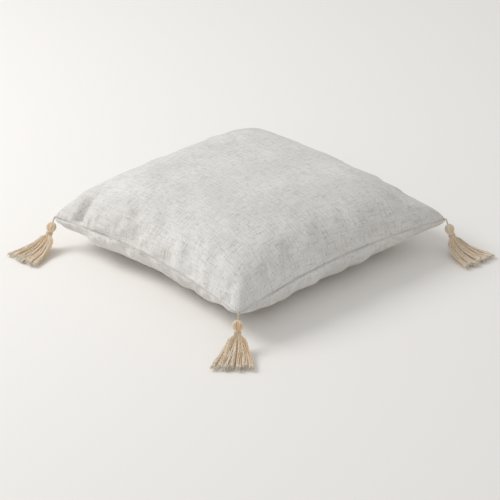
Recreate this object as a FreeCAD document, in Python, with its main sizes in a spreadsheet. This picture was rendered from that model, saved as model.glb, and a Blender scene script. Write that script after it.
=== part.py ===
"""Square floor cushion with a removable insert, a zip in its back seam and a tassel at each corner.

Millimetres. The origin is the middle of the flat face that the cushion rests on, +Z is up, and the sides run along
X and Y. The zip is in the seam of the +Y side.
"""
import math
import os

import FreeCAD
import Part
import Sketcher
from FreeCAD import Placement, Rotation, Vector

SIZES = {
    # Plan of the cover, along its seam
    "half_side": 290.0,  # centre to the straight line that two neighbouring corners would span
    "corner_blunting": 0.02,  # share of half_side by which a corner tip is rounded back
    "corner_sharpness": 16.0,  # power of the rounding; more keeps it nearer to the tip
    "edge_bow": 20.0,  # how far a plain side is pulled in at its middle
    "zip_bow": 10.0,  # the same on the side that the zip tape stiffens
    "zip_straight": 0.74,  # share of the zip side that is straight
    # Heights
    "corner_height": 66.0,  # seam at the corners
    "seam_rise": 12.0,  # seam at the middle of a plain side, above the corners
    "zip_rise": 6.0,  # seam along the zip, above the corners
    "crown_up": 103.0,  # top of the crown above the corners' height
    "crown_down": 84.0,  # depth that the lower panel would reach if nothing held it up
    "crown_up_power": 3.4,  # fullness of the upper panel towards its edges
    "crown_down_power": 3.4,
    # Cloth
    "cover_cloth": 1.0,
    "seam_gap": 0.1,  # half the gap between the two panels at the seam
    "allowance_cloth": 0.8,
    "allowance": 12.0,  # width of the seam allowance inside the cover
    "thread_inset": 8.0,
    "thread_width": 0.6,
    "thread_gap": 0.4,  # between a thread and the allowance it lies on
    "case_cloth": 0.5,
    "case_inset": 14.0,
    "case_gap": 1.2,  # between the cover and the case of the insert
    "case_allowance": 6.0,
    "filling_gap": 0.2,
    # Zip: "deep" sizes are measured inwards from the outside of the cover
    "zip_length": 400.0,
    "slit_half": 1.4,
    "channel_half": 6.5,
    "channel_deep": 1.9,
    "tape_deep": 2.8,
    "tape_thickness": 0.6,
    "tape_edge": 1.3,  # half the distance between the two tapes
    "tape_width": 7.0,
    "teeth_thickness": 2.2,
    "tooth_height": 1.0,
    "tooth_pitch": 2.0,
    "tooth_width": 1.1,
    "teeth_spine": 1.1,
    "stop_length": 3.0,
    "stop_gap": 0.5,
    # Slider
    "slider_length": 9.0,
    "slider_half": 4.7,
    "slider_wall": 1.0,
    "slider_back_deep": 7.2,
    "slider_plate": 1.2,
    "slider_lip_deep": 3.8,
    "post_from": 1.5,  # along the slider, from its middle
    "post_length": 3.0,
    "post_half": 0.9,
    "arch_half": 2.5,
    "arch_base": 0.3,
    "arch_top": 4.1,
    "eye_half": 1.3,
    "eye_low": 0.9,
    "eye_high": 2.9,
    "pivot_out": 1.9,
    # Pull tab
    "tab_length": 20.0,
    "tab_half": 2.6,
    "tab_thickness": 1.2,
    "tab_bar": 0.6,  # half the thickness of the bar in the slider's eye
    "tab_window": 4.0,
    "tab_prong": 1.0,
    # Tassels
    "anchor_gap": 3.0,  # corner tip to the point where the loop turns
    "loop_length": 11.0,
    "loop_cord": 1.0,  # radius
    "loop_half": 1.3,
    "loop_clearance": 0.4,
    "head_length": 22.0,
    "head_radius": 11.2,
    "neck_radius": 7.2,
    "neck_length": 2.5,
    "binding_cord": 0.55,  # radius
    "binding_gap": 0.05,
    "binding_pitch": 0.95,
    "skirt_length": 94.0,
    "skirt_collar": 2.5,
    "skirt_end_half_width": 43.0,
    "skirt_end_half_height": 4.6,
    "skirt_middle_half_height": 7.5,
    "head_droop": 60.0,  # degrees below the horizontal
    "skirt_end_droop": 1.0,
    "skirt_settling": 2.4,  # power of the skirt's bend; more lays it down sooner
}
# The way each tassel lies, in degrees about +Z from +X
TASSELS = {
    "front": {"corner": (1, -1), "heading": -49.0},
    "left": {"corner": (-1, -1), "heading": -83.0},
    "right": {"corner": (1, 1), "heading": -2.0},
    "back": {"corner": (-1, 1), "heading": 135.0},
}
SPANS = 26  # spans of each surface, along each side
SKIRT_SECTIONS = 6
BINDING_TURNS = 3
FAR = 1000.0  # larger than the cushion

doc = FreeCAD.newDocument("floor_cushion")
sheet = doc.addObject("Spreadsheet::Sheet", "sizes")


def fill_sheet():
    for row, (name, value) in enumerate(SIZES.items(), start=1):
        sheet.set(f"A{row}", name)
        sheet.set(f"B{row}", str(value))
        sheet.setAlias(f"B{row}", name)
    doc.recompute()


def size(name):
    return float(getattr(sheet, name))


def bind(obj, **expressions):
    """Bind properties of an object to the sheet. A bare name in an expression is one of the sheet's sizes."""
    for prop, expression in expressions.items():
        obj.setExpression(prop, in_sheet(expression))


def in_sheet(expression):
    words = expression.replace("(", " ( ").replace(")", " ) ").split()
    return " ".join(f"<<sizes>>.{word}" if word in SIZES else word for word in words)


def labelled(obj, label):
    obj.Label = label
    return obj


# ---- the pillow form -------------------------------------------------------------------------------------------


def zip_side_profile(along):
    """1 on the straight stretch of the zip side, falling to 0 at its corners."""
    straight = size("zip_straight")
    past = max(abs(along) - straight, 0.0) / (1.0 - straight)
    return 1.0 - past * past


def plain_side_profile(along):
    return 1.0 - along * along


def towards_zip(v):
    """0 on the -Y side and 1 on the zip side, with no kink between."""
    share = 0.5 * (v + 1.0)
    return share * share * (3.0 - 2.0 * share)


def plan_point(u, v, inset):
    """Where the point (u, v) of a square from -1 to 1 lies in plan, for a seam that is inset all round."""
    reach = size("half_side") - inset
    bow = size("edge_bow") / size("half_side")
    zip_bow = size("zip_bow") / size("half_side")
    share = towards_zip(v)
    blunt = size("corner_blunting") * abs(u * v) ** size("corner_sharpness")
    bow_y = bow * plain_side_profile(u) * (1.0 - share) + zip_bow * zip_side_profile(u) * share
    return reach * u * (1.0 - bow * plain_side_profile(v) - blunt), reach * v * (1.0 - bow_y - blunt)


def seam_height(u, v, inset=0.0):
    """Height of the sheet that spans the seam, at a point of a form that is inset from it all round."""
    scale = 1.0 - inset / size("half_side")
    u *= scale
    v *= scale
    share = towards_zip(v)
    on_x_sides = size("seam_rise") * plain_side_profile(v)
    on_y_sides = size("seam_rise") * plain_side_profile(u) * (1.0 - share)
    on_y_sides += size("zip_rise") * zip_side_profile(u) * share
    return size("corner_height") + u * u * on_x_sides + v * v * on_y_sides


def swell(u, v, power):
    """1 in the middle and 0 along the seam, which it meets upright, as a filled panel does."""
    return math.sqrt(max((1.0 - abs(u) ** power) * (1.0 - abs(v) ** power), 0.0))


def surface(inset, height):
    """A smooth surface over the cushion's plan, whose height is a function of u and v."""
    places = [0.0, 1.0 / 3.0] + [float(span) for span in range(1, SPANS)] + [SPANS - 1.0 / 3.0, float(SPANS)]
    shares = [math.sin(math.pi * (place / SPANS - 0.5)) for place in places]
    poles = []
    for u in shares:
        row = []
        for v in shares:
            x, y = plan_point(u, v, inset)
            row.append(Vector(x, y, height(u, v)))
        poles.append(row)
    knots = [float(span) for span in range(SPANS + 1)]
    mults = [4] + [1] * (SPANS - 1) + [4]
    made = Part.BSplineSurface()
    made.buildFromPolesMultsKnots(poles, mults, mults, knots, knots, False, False, 3, 3)
    return made


def border(made):
    """The four edges of a surface."""
    return [
        curve.toShape()
        for curve in (made.uIso(0.0), made.uIso(float(SPANS)), made.vIso(0.0), made.vIso(float(SPANS)))
    ]


def closed(lower, upper, walls):
    """The solid between two surfaces. walls closes it where their borders don't meet."""
    faces = [lower.toShape(), upper.toShape()]
    if walls:
        faces += [Part.makeRuledSurface(low, high) for low, high in zip(border(lower), border(upper))]
    shell = Part.Shell(faces)
    shell.sewShape()
    return Part.makeSolid(shell)


def lens(inset, base, crown, power):
    """A swelling on the seam's sheet: upwards for a positive crown, downwards for a negative one."""
    sheet_at_base = surface(inset, lambda u, v: seam_height(u, v, inset) + base)
    cap = surface(inset, lambda u, v: seam_height(u, v, inset) + base + crown * swell(u, v, power))
    return closed(sheet_at_base, cap, walls=False)


def slab(inset, base, top):
    """A slab that follows the seam's sheet, from base to top above it."""
    lower = surface(inset, lambda u, v: seam_height(u, v, inset) + base)
    upper = surface(inset, lambda u, v: seam_height(u, v, inset) + top)
    return closed(lower, upper, walls=True)


def above(height):
    return Part.makeBox(2 * FAR, 2 * FAR, FAR, Vector(-FAR, -FAR, height))


def zip_line():
    """The zip's middle, where its post leaves the cover: Y and Z."""
    return size("half_side") - size("zip_bow"), size("corner_height") + size("zip_rise")


def zip_room():
    """What the zip takes out of the two panels: the slit in the cover, and a channel in the seam allowances."""
    y, z = zip_line()
    length = size("zip_length") + 4 * size("stop_length")
    depth = size("allowance") + size("case_inset")
    slit = Part.makeBox(
        length, 2 * depth, 2 * size("slit_half"), Vector(-length / 2, y - depth, z - size("slit_half"))
    )
    channel = Part.makeBox(
        length,
        depth,
        2 * size("channel_half"),
        Vector(-length / 2, y - size("channel_deep") - depth, z - size("channel_half")),
    )
    return slit.fuse(channel)


def shaped(label, shape):
    """A sub-part that is a free-form solid."""
    feature = doc.addObject("Part::Feature", label)
    feature.Shape = shape
    feature.Placement = Placement()
    return labelled(feature, label)


def cover_panels():
    """The two squares of the cover, each with its seam allowance turned in."""
    cloth = size("cover_cloth")
    gap = size("seam_gap")
    fold = gap + size("allowance_cloth")
    middle = slab(size("allowance"), -2 * fold, 2 * fold)
    room = zip_room()
    up = size("crown_up") - gap
    upper = lens(0.0, gap, up, size("crown_up_power"))
    upper = upper.cut(lens(cloth, fold, up - cloth - fold + gap, size("crown_up_power")))
    shaped("cover_top_panel", upper.cut(middle).cut(room))
    down = size("crown_down") - gap
    lower = lens(0.0, -gap, -down, size("crown_down_power")).common(above(0.0))
    inside = lens(cloth, -fold, -(down - cloth - fold + gap), size("crown_down_power"))
    lower = lower.cut(inside.common(above(cloth)))
    shaped("cover_bottom_panel", lower.cut(middle).cut(room))


def seam_thread():
    """The two threads of the lockstitch, one on each seam allowance, interrupted where the zip is."""
    near = size("seam_gap") + size("allowance_cloth") + size("thread_gap")
    inset = size("thread_inset")
    width = size("thread_width")
    far = near + width / 2
    threads = []
    for low, high in ((near, far), (-far, -near)):
        ring = slab(inset, low, high).cut(slab(inset + width, low - width, high + width))
        threads.append(ring.cut(zip_room()))
    solids = [solid for thread in threads for solid in thread.Solids]
    shaped("seam_thread", Part.makeCompound(solids))


def insert():
    """The inner cushion: a case of thin cloth sewn inside out, so its allowances are inside, and a fibre filling."""
    inset = size("case_inset")
    cloth = size("case_cloth")
    gap = size("filling_gap")
    seam = size("seam_gap")
    fold = seam + cloth
    set_back = size("cover_cloth") + size("case_gap")
    floor = size("cover_cloth") + gap
    up = size("crown_up") - set_back
    down = size("crown_down") - set_back
    up_power = size("crown_up_power")
    down_power = size("crown_down_power")
    middle = slab(inset + size("case_allowance"), -2 * fold, 2 * fold)
    upper = lens(inset, seam, up - seam, up_power)
    upper = upper.cut(lens(inset + cloth, fold, up - cloth - fold, up_power)).cut(middle)
    shaped("insert_case_top", upper)
    lower = lens(inset, -seam, seam - down, down_power).common(above(floor))
    hollow = lens(inset + cloth, -fold, fold + cloth - down, down_power).common(above(floor + cloth))
    shaped("insert_case_bottom", lower.cut(hollow).cut(middle))
    fill_inset = inset + size("case_allowance") + gap
    fill_up = up - cloth - gap
    fill_down = down - cloth - gap
    bottom = surface(
        fill_inset, lambda u, v: seam_height(u, v, fill_inset) - fill_down * swell(u, v, down_power)
    )
    top = surface(fill_inset, lambda u, v: seam_height(u, v, fill_inset) + fill_up * swell(u, v, up_power))
    filling = closed(bottom, top, walls=False).common(above(floor + cloth + gap))
    shaped("insert_filling", filling)


# ---- the zip ---------------------------------------------------------------------------------------------------


def box(label, position, **expressions):
    made = doc.addObject("Part::Box", label)
    bind(made, **expressions)
    made.Placement = Placement(position, Rotation())
    return labelled(made, label)


def teeth_row(label, side):
    """One row of teeth with its spine, on the inner face of a tape. side is 1 above the slit and -1 below it."""
    y, z = zip_line()
    start = -size("zip_length") / 2
    near = size("tape_edge")
    root = near + size("tooth_height")
    far = root + size("teeth_spine")
    shift = 0.0 if side > 0 else size("tooth_pitch") / 2
    outline = [(start, far), (start, root)]
    for tooth in range(int(size("zip_length") / size("tooth_pitch")) - 1):
        left = start + shift + (tooth + 0.25) * size("tooth_pitch")
        right = left + size("tooth_width")
        outline += [(left, root), (left, near), (right, near), (right, root)]
    outline += [(-start, root), (-start, far), (start, far)]
    deep = size("tape_deep") + size("tape_thickness") + size("teeth_thickness")
    wire = Part.makePolygon([Vector(x, y - deep, z + side * rise) for x, rise in outline])
    shaped(label, Part.Face(wire).extrude(Vector(0, size("teeth_thickness"), 0)))


def zip_tapes_and_stops():
    y, z = zip_line()
    start = -size("zip_length") / 2
    tape_y = y - size("tape_deep") - size("tape_thickness")
    teeth_y = tape_y - size("teeth_thickness")
    teeth_height = size("tooth_height") + size("teeth_spine")
    for name, low in (("upper", size("tape_edge")), ("lower", -size("tape_edge") - size("tape_width"))):
        box(
            f"zip_tape_{name}",
            Vector(start, tape_y, z + low),
            Length="zip_length",
            Width="tape_thickness",
            Height="tape_width",
        )
    teeth_row("zip_teeth_upper", 1)
    teeth_row("zip_teeth_lower", -1)
    for name, low in (("upper", size("tape_edge")), ("lower", -size("tape_edge") - teeth_height)):
        box(
            f"zip_top_stop_{name}",
            Vector(-start, teeth_y, z + low),
            Length="stop_length",
            Width="teeth_thickness + tape_thickness",
            Height="tooth_height + teeth_spine",
        )
    box(
        "zip_bottom_stop",
        Vector(start - size("stop_length"), teeth_y, z - size("tape_edge") - teeth_height),
        Length="stop_length",
        Width="teeth_thickness + tape_thickness",
        Height="2 * ( tape_edge + tooth_height + teeth_spine )",
    )


def sketch_on(body, name, role):
    """A sketch on one of its own body's origin planes."""
    sketch = body.newObject("Sketcher::SketchObject", name)
    plane = next(item for item in body.Origin.OriginFeatures if item.Role == role)
    sketch.AttachmentSupport = [(plane, "")]
    sketch.MapMode = "FlatFace"
    return sketch


def add_outline(sketch, corners):
    """A closed outline of straight lines. Each corner is two expressions, and each is a constraint of the sketch."""
    places = [[evaluated(expression) for expression in corner] for corner in corners]
    first = sketch.GeometryCount
    count = len(corners)
    for index, place in enumerate(places):
        following = places[(index + 1) % count]
        sketch.addGeometry(Part.LineSegment(Vector(*place, 0), Vector(*following, 0)))
    for index in range(count):
        line = first + index
        sketch.addConstraint(Sketcher.Constraint("Coincident", line, 2, first + (index + 1) % count, 1))
        for kind, value, expression in zip(("DistanceX", "DistanceY"), places[index], corners[index]):
            number = sketch.addConstraint(Sketcher.Constraint(kind, -1, 1, line, 1, value))
            sketch.setExpression(f"Constraints[{number}]", in_sheet(expression))


def evaluated(expression):
    return float(sheet.evalExpression(in_sheet(expression)))


def rectangle(low_x, high_x, low_y, high_y):
    return [(low_x, low_y), (high_x, low_y), (high_x, high_y), (low_x, high_y)]


def pad(body, sketch, length, midplane=True):
    feature = body.newObject("PartDesign::Pad", f"{sketch.Name}_pad")
    feature.Profile = sketch
    feature.Midplane = midplane
    bind(feature, Length=length)
    return feature


def zip_slider():
    """A channel behind the teeth, a post through the slit, and an arch outside with an eye for the pull tab.

    Its own frame has X along the zip, Y out of the cushion from the cover's outside, and Z up from the slit.
    """
    body = doc.addObject("PartDesign::Body", "zip_slider")
    channel = sketch_on(body, "slider_channel", "YZ_Plane")
    back = "0 - slider_back_deep"
    front = "0 - slider_lip_deep"
    plate = "slider_plate - slider_back_deep"
    inner = "slider_half - slider_wall"
    add_outline(
        channel,
        [
            (back, "0 - slider_half"),
            (front, "0 - slider_half"),
            (front, "slider_wall - slider_half"),
            (plate, "slider_wall - slider_half"),
            (plate, inner),
            (front, inner),
            (front, "slider_half"),
            (back, "slider_half"),
        ],
    )
    pad(body, channel, "slider_length")
    post = sketch_on(body, "slider_post", "XY_Plane")
    add_outline(post, rectangle("post_from", "post_from + post_length", plate, "eye_low"))
    pad(body, post, "2 * post_half")
    arch = sketch_on(body, "slider_arch", "XY_Plane")
    middle = "post_from + post_length / 2"
    add_outline(
        arch, rectangle(f"{middle} - arch_half", f"{middle} + arch_half", "arch_base", "arch_top")
    )
    add_outline(arch, rectangle(f"{middle} - eye_half", f"{middle} + eye_half", "eye_low", "eye_high"))
    pad(body, arch, "2 * post_half")
    y, z = zip_line()
    body.Placement = Placement(Vector(slider_rest(), y, z), Rotation())
    return labelled(body, "zip_slider")


def slider_rest():
    """X of the slider when the zip is closed."""
    return (size("zip_length") - size("slider_length")) / 2 - size("stop_gap")


def zip_pull_tab():
    """A flat tab whose bar lies in the slider's eye. Its own frame has its origin on the bar, with the tab to -X."""
    body = doc.addObject("PartDesign::Body", "zip_pull_tab")
    blade = sketch_on(body, "tab_blade", "XZ_Plane")
    add_outline(blade, rectangle("0 - tab_length", "tab_bar", "0 - tab_half", "tab_half"))
    add_outline(
        blade,
        rectangle("0 - tab_bar - tab_window", "0 - tab_bar", "tab_prong - tab_half", "tab_half - tab_prong"),
    )
    blade_pad = pad(body, blade, "tab_thickness")
    doc.recompute()
    far_corners = [
        f"Edge{number}"
        for number, edge in enumerate(blade_pad.Shape.Edges, start=1)
        if edge.BoundBox.XMax < 1 - size("tab_length") and edge.BoundBox.ZLength < 0.001
    ]
    rounding = body.newObject("PartDesign::Fillet", "tab_rounding")
    rounding.Base = (blade_pad, far_corners)
    bind(rounding, Radius="tab_half - tab_prong / 2")
    y, z = zip_line()
    pivot_x = slider_rest() + size("post_from") + size("post_length") / 2
    body.Placement = Placement(Vector(pivot_x, y + size("pivot_out"), z), Rotation())
    return labelled(body, "zip_pull_tab")


# ---- the tassels -----------------------------------------------------------------------------------------------


def tassel_frame(tassel):
    """The anchor of a tassel at its corner, with X along the way it lies and Z up."""
    tip = size("half_side") * (1.0 - size("corner_blunting"))
    out = size("anchor_gap") / math.sqrt(2.0)
    corner_x, corner_y = tassel["corner"]
    anchor = Vector(corner_x * (tip + out), corner_y * (tip + out), size("corner_height"))
    return Placement(anchor, Rotation(Vector(0, 0, 1), tassel["heading"]))


def down_the_axis(distance, droop):
    """A frame on the head's axis, this far from the anchor, with Z along the axis and away from the corner."""
    fall = math.radians(droop)
    place = Vector(distance * math.cos(fall), 0, -distance * math.sin(fall))
    return Placement(place, Rotation(Vector(0, 1, 0), 90.0 + droop))


def corner_loop(name, tassel):
    """The doubled cord from the corner to the tassel's head, a U of one cord."""
    body = doc.addObject("PartDesign::Body", f"corner_loop_{name}")
    path = sketch_on(body, f"loop_path_{name}", "XZ_Plane")
    half = size("loop_half")
    turn = size("loop_length") - size("loop_cord") - half
    path.addGeometry(Part.LineSegment(Vector(half, 0, 0), Vector(half, turn, 0)))
    path.addGeometry(Part.ArcOfCircle(Part.Circle(Vector(0, turn, 0), Vector(0, 0, 1), half), 0, math.pi))
    path.addGeometry(Part.LineSegment(Vector(-half, turn, 0), Vector(-half, 0, 0)))
    constrain_loop(path)
    section = sketch_on(body, f"loop_section_{name}", "XY_Plane")
    section.addGeometry(Part.Circle(Vector(half, 0, 0), Vector(0, 0, 1), size("loop_cord")))
    constrain_section(section)
    pipe = body.newObject("PartDesign::AdditivePipe", f"loop_pipe_{name}")
    pipe.Profile = section
    pipe.Spine = (path, ["Edge1", "Edge2", "Edge3"])
    turned = Placement(Vector(), Rotation(Vector(0, 0, 1), 90))
    body.Placement = tassel_frame(tassel) * down_the_axis(0.0, size("head_droop")) * turned
    return labelled(body, f"corner_loop_{name}")


def constrain_loop(path):
    path.addConstraint(Sketcher.Constraint("Tangent", 0, 2, 1, 1))
    path.addConstraint(Sketcher.Constraint("Tangent", 1, 2, 2, 1))
    path.addConstraint(Sketcher.Constraint("Vertical", 0))
    path.addConstraint(Sketcher.Constraint("PointOnObject", 0, 1, -1))
    path.addConstraint(Sketcher.Constraint("PointOnObject", 2, 2, -1))
    path.addConstraint(Sketcher.Constraint("PointOnObject", 1, 3, -2))
    radius = path.addConstraint(Sketcher.Constraint("Radius", 1, size("loop_half")))
    path.setExpression(f"Constraints[{radius}]", in_sheet("loop_half"))
    turn = evaluated("loop_length - loop_cord - loop_half")
    reach = path.addConstraint(Sketcher.Constraint("DistanceY", -1, 1, 1, 3, turn))
    path.setExpression(f"Constraints[{reach}]", in_sheet("loop_length - loop_cord - loop_half"))


def constrain_section(section):
    section.addConstraint(Sketcher.Constraint("PointOnObject", 0, 3, -1))
    across = section.addConstraint(Sketcher.Constraint("DistanceX", -1, 1, 0, 3, size("loop_half")))
    section.setExpression(f"Constraints[{across}]", in_sheet("loop_half"))
    radius = section.addConstraint(Sketcher.Constraint("Radius", 0, size("loop_cord")))
    section.setExpression(f"Constraints[{radius}]", in_sheet("loop_cord"))


def head_start():
    """Distance from the anchor to the top of the head, along the axis."""
    return size("loop_length") + size("loop_clearance")


def tassel_head(name, tassel):
    """The round head of folded yarn, with the short neck that the binding grips."""
    ball = doc.addObject("Part::Ellipsoid", f"head_ball_{name}")
    ball.Angle1 = -90
    ball.Angle2 = 90
    bind(ball, Radius1="head_length / 2", Radius2="head_radius", Radius3="head_radius")
    ball.Placement = Placement(Vector(0, 0, size("head_length") / 2), Rotation())
    neck = doc.addObject("Part::Cylinder", f"head_neck_{name}")
    bind(neck, Radius="neck_radius", Height="head_length / 2 + neck_length")
    neck.Placement = ball.Placement
    head = doc.addObject("Part::Fuse", f"tassel_head_{name}")
    head.Base = ball
    head.Tool = neck
    head.Placement = tassel_frame(tassel) * down_the_axis(head_start(), size("head_droop"))
    return labelled(head, f"tassel_head_{name}")


def neck_binding(name, tassel):
    """Turns of thread wound round the neck, where the head ends and the skirt begins."""
    turns = []
    for turn in range(BINDING_TURNS):
        ring = doc.addObject("Part::Torus", f"binding_turn_{name}_{turn}")
        bind(ring, Radius1="neck_radius + binding_gap + binding_cord", Radius2="binding_cord")
        along = size("head_length") + size("neck_length") + (turn - 0.5 * BINDING_TURNS) * size("binding_pitch")
        ring.Placement = Placement(Vector(0, 0, along), Rotation())
        turns.append(ring)
    binding = doc.addObject("Part::MultiFuse", f"tassel_binding_{name}")
    binding.Shapes = turns
    binding.Placement = tassel_frame(tassel) * down_the_axis(head_start(), size("head_droop"))
    return labelled(binding, f"tassel_binding_{name}")


def skirt_sections():
    """Place and half sizes of each section of the skirt: it leaves the neck steeply and settles on the floor."""
    length = size("skirt_length")
    neck = size("neck_radius")
    start = head_start() + size("head_length") + size("neck_length")
    droop = size("head_droop")
    frame = down_the_axis(start, droop)
    sections = [(frame, neck, neck)]
    x, z = frame.Base.x, frame.Base.z
    walked = 0.0
    steps = [size("skirt_collar")] + [length * step / SKIRT_SECTIONS for step in range(1, SKIRT_SECTIONS + 1)]
    for reached in steps:
        share = reached / length
        fresh = size("skirt_end_droop")
        fresh += (size("head_droop") - fresh) * (1.0 - share) ** size("skirt_settling")
        fall = math.radians(0.5 * (droop + fresh))
        x += (reached - walked) * math.cos(fall)
        z -= (reached - walked) * math.sin(fall)
        walked, droop = reached, fresh
        place = Placement(Vector(x, 0, z), Rotation(Vector(0, 1, 0), 90.0 + droop))
        middle = 4.0 * share * (1.0 - share)
        half_width = neck + (size("skirt_end_half_width") - neck) * share
        half_height = neck + (size("skirt_end_half_height") - neck) * share
        half_height += middle * (size("skirt_middle_half_height") - 0.5 * (neck + size("skirt_end_half_height")))
        if reached == size("skirt_collar"):
            half_width = neck
            half_height = neck
        sections.append((place, half_width, half_height))
    return sections


def tassel_skirt(name, tassel):
    """The skirt of loose yarn as one solid, round at the neck and spread flat at its cut end."""
    rings = []
    across = Placement(Vector(), Rotation(Vector(0, 0, 1), 90))
    for number, (place, half_width, half_height) in enumerate(skirt_sections()):
        ring = doc.addObject("Part::Ellipse", f"skirt_section_{name}_{number}")
        ring.MajorRadius = max(half_width, half_height)
        ring.MinorRadius = min(half_width, half_height)
        ring.Placement = place * across
        rings.append(ring)
    skirt = doc.addObject("Part::Loft", f"tassel_skirt_{name}")
    skirt.Sections = rings
    skirt.Solid = True
    skirt.Placement = tassel_frame(tassel)
    return labelled(skirt, f"tassel_skirt_{name}")


# ---- the document ----------------------------------------------------------------------------------------------


def sub_parts():
    """The objects that are sub-parts: those that no other object is built from."""
    names = ("PartDesign::Body", "Part::Feature", "Part::Box", "Part::Fuse", "Part::MultiFuse", "Part::Loft")
    return [obj for obj in doc.Objects if obj.TypeId in names]


def check():
    for obj in doc.Objects:
        if "Invalid" in obj.State or "Error" in obj.State:
            raise RuntimeError(f"{obj.Label} did not compute: {obj.State}")
    for part in sub_parts():
        if part.Shape.isNull() or not part.Shape.isValid():
            raise RuntimeError(f"{part.Label} has no valid shape")
        if not part.Shape.Solids:
            raise RuntimeError(f"{part.Label} has no solid")


def write():
    os.makedirs("parts", exist_ok=True)
    for part in sub_parts():
        part.Shape.exportStep(os.path.join("parts", f"{part.Label}.step"))
        box_of = part.Shape.optimalBoundingBox()
        print(
            f"{part.Label}: {len(part.Shape.Solids)} solid(s), {part.Shape.Volume / 1000:.2f} cm3, "
            f"z {box_of.ZMin:.2f} to {box_of.ZMax:.2f}"
        )


fill_sheet()
cover_panels()
seam_thread()
insert()
zip_tapes_and_stops()
zip_slider()
zip_pull_tab()
for tassel_name, tassel_place in TASSELS.items():
    corner_loop(tassel_name, tassel_place)
    tassel_head(tassel_name, tassel_place)
    neck_binding(tassel_name, tassel_place)
    tassel_skirt(tassel_name, tassel_place)
doc.recompute()
check()
write()
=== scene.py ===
"""The looks of the floor cushion: a filled linen-look cover, its insert, a hidden zip and four yarn tassels.

Metres, in the frame of the CAD model: the cushion rests on z = 0 and its sides run along X and Y.
"""

import math

import bpy
import numpy as np
from mathutils import Matrix, Vector


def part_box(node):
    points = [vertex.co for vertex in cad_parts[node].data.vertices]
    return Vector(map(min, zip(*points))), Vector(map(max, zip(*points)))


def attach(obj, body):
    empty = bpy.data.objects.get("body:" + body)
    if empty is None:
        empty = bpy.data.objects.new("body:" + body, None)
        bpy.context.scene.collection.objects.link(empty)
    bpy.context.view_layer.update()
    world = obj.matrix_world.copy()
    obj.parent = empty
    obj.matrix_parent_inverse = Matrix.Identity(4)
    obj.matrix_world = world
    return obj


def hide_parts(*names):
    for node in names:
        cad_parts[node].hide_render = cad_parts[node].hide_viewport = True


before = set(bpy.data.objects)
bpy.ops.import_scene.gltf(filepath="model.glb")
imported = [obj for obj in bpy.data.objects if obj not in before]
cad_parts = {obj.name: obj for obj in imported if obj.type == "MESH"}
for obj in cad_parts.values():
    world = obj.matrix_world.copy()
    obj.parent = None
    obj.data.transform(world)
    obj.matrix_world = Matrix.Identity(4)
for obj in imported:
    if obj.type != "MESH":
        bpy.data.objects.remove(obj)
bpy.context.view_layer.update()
rng = np.random.default_rng(7)

# ---- sizes that the looks share ------------------------------------------------------------------

TOP_LOW, TOP_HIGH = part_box("cover_top_panel")
CORNER_TIP = TOP_HIGH.x  # corner tips of the cover, in X and in Y
CORNER_HEIGHT = TOP_LOW.z
CROWN_TOP = TOP_HIGH.z
CLOTH_HALF = 0.300  # half the side of each flat-cut panel
BLUNTING = 0.02  # share of the half side that the rounding takes off a corner
SHARPNESS = 16  # the higher, the closer to the corner the rounding stays
HALF_SIDE = CORNER_TIP / (1 - BLUNTING)
EDGE_BOW = 0.020  # how far the middle of a side bows in, and of the side with the zip
ZIP_BOW = 0.010
ZIP_STRAIGHT = 0.74  # share of the zip's side that stays straight
ZIP_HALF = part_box("zip_teeth_upper")[1].x
SEAM_RISE = 0.012  # of the seam above its corners, and of the seam with the zip
ZIP_RISE = 0.006
CROWN_UP = CROWN_TOP - CORNER_HEIGHT
CROWN_DOWN = 0.084  # how far the lower panel would hang without a floor
UP_POWER = 3.4  # the higher, the flatter the panel's middle
DOWN_POWER = 3.4
FLOOR_ROUNDING = 0.004
GROOVE_DEPTH = 0.0010  # of the seam between the panels, and where the zip is
ZIP_GROOVE = 0.0008
TURN = 2.0 * math.pi
GRID = 91  # points along each side of a simulated panel
FINE = 2 * GRID - 1  # and of the finished one


def smooth(share):
    share = np.clip(share, 0.0, 1.0)
    return share * share * (3.0 - 2.0 * share)


def bell(distance):
    return np.exp(-distance * distance)


# ---- the pillow form -----------------------------------------------------------------------------


def zip_profile(along):
    past = np.maximum(np.abs(along) - ZIP_STRAIGHT, 0.0) / (1.0 - ZIP_STRAIGHT)
    return 1.0 - past * past


def plan(u, v):
    """Plan position of the point (u, v) of a square from -1 to 1."""
    bow = EDGE_BOW / HALF_SIDE
    share = smooth(0.5 * (v + 1.0))
    blunt = BLUNTING * np.abs(u * v) ** SHARPNESS
    bow_y = bow * (1.0 - u * u) * (1.0 - share) + ZIP_BOW / HALF_SIDE * zip_profile(u) * share
    return HALF_SIDE * u * (1.0 - bow * (1.0 - v * v) - blunt), HALF_SIDE * v * (1.0 - bow_y - blunt)


def seam_height(u, v):
    share = smooth(0.5 * (v + 1.0))
    on_y = SEAM_RISE * (1.0 - u * u) * (1.0 - share) + ZIP_RISE * zip_profile(u) * share
    return CORNER_HEIGHT + u * u * SEAM_RISE * (1.0 - v * v) + v * v * on_y


def swell(u, v, power):
    return np.sqrt(np.maximum((1.0 - np.abs(u) ** power) * (1.0 - np.abs(v) ** power), 0.0))


def soft_floor(z):
    """z where it is above the floor, and 0 below, with a rounded turn between."""
    r = FLOOR_ROUNDING
    return np.where(z > r, z, np.where(z < -r, 0.0, (z + r) ** 2 / (4.0 * r)))


def grid_lines(count):
    return np.sin(np.linspace(-0.5, 0.5, count) * math.pi)


ARC_POINTS = 4000


def cloth_share(lines):
    """Where each grid line lies on the flat-cut panel, from -1 to 1 along the arc across the middle."""
    u = grid_lines(ARC_POINTS)
    x, _ = plan(u, 0.0 * u)
    up = CORNER_HEIGHT + SEAM_RISE * u * u + CROWN_UP * swell(u, 0.0, UP_POWER)
    arc = np.concatenate([[0.0], np.cumsum(np.hypot(np.diff(x), np.diff(up)))])
    return np.interp(lines, u, 2.0 * arc / arc[-1] - 1.0)


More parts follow.
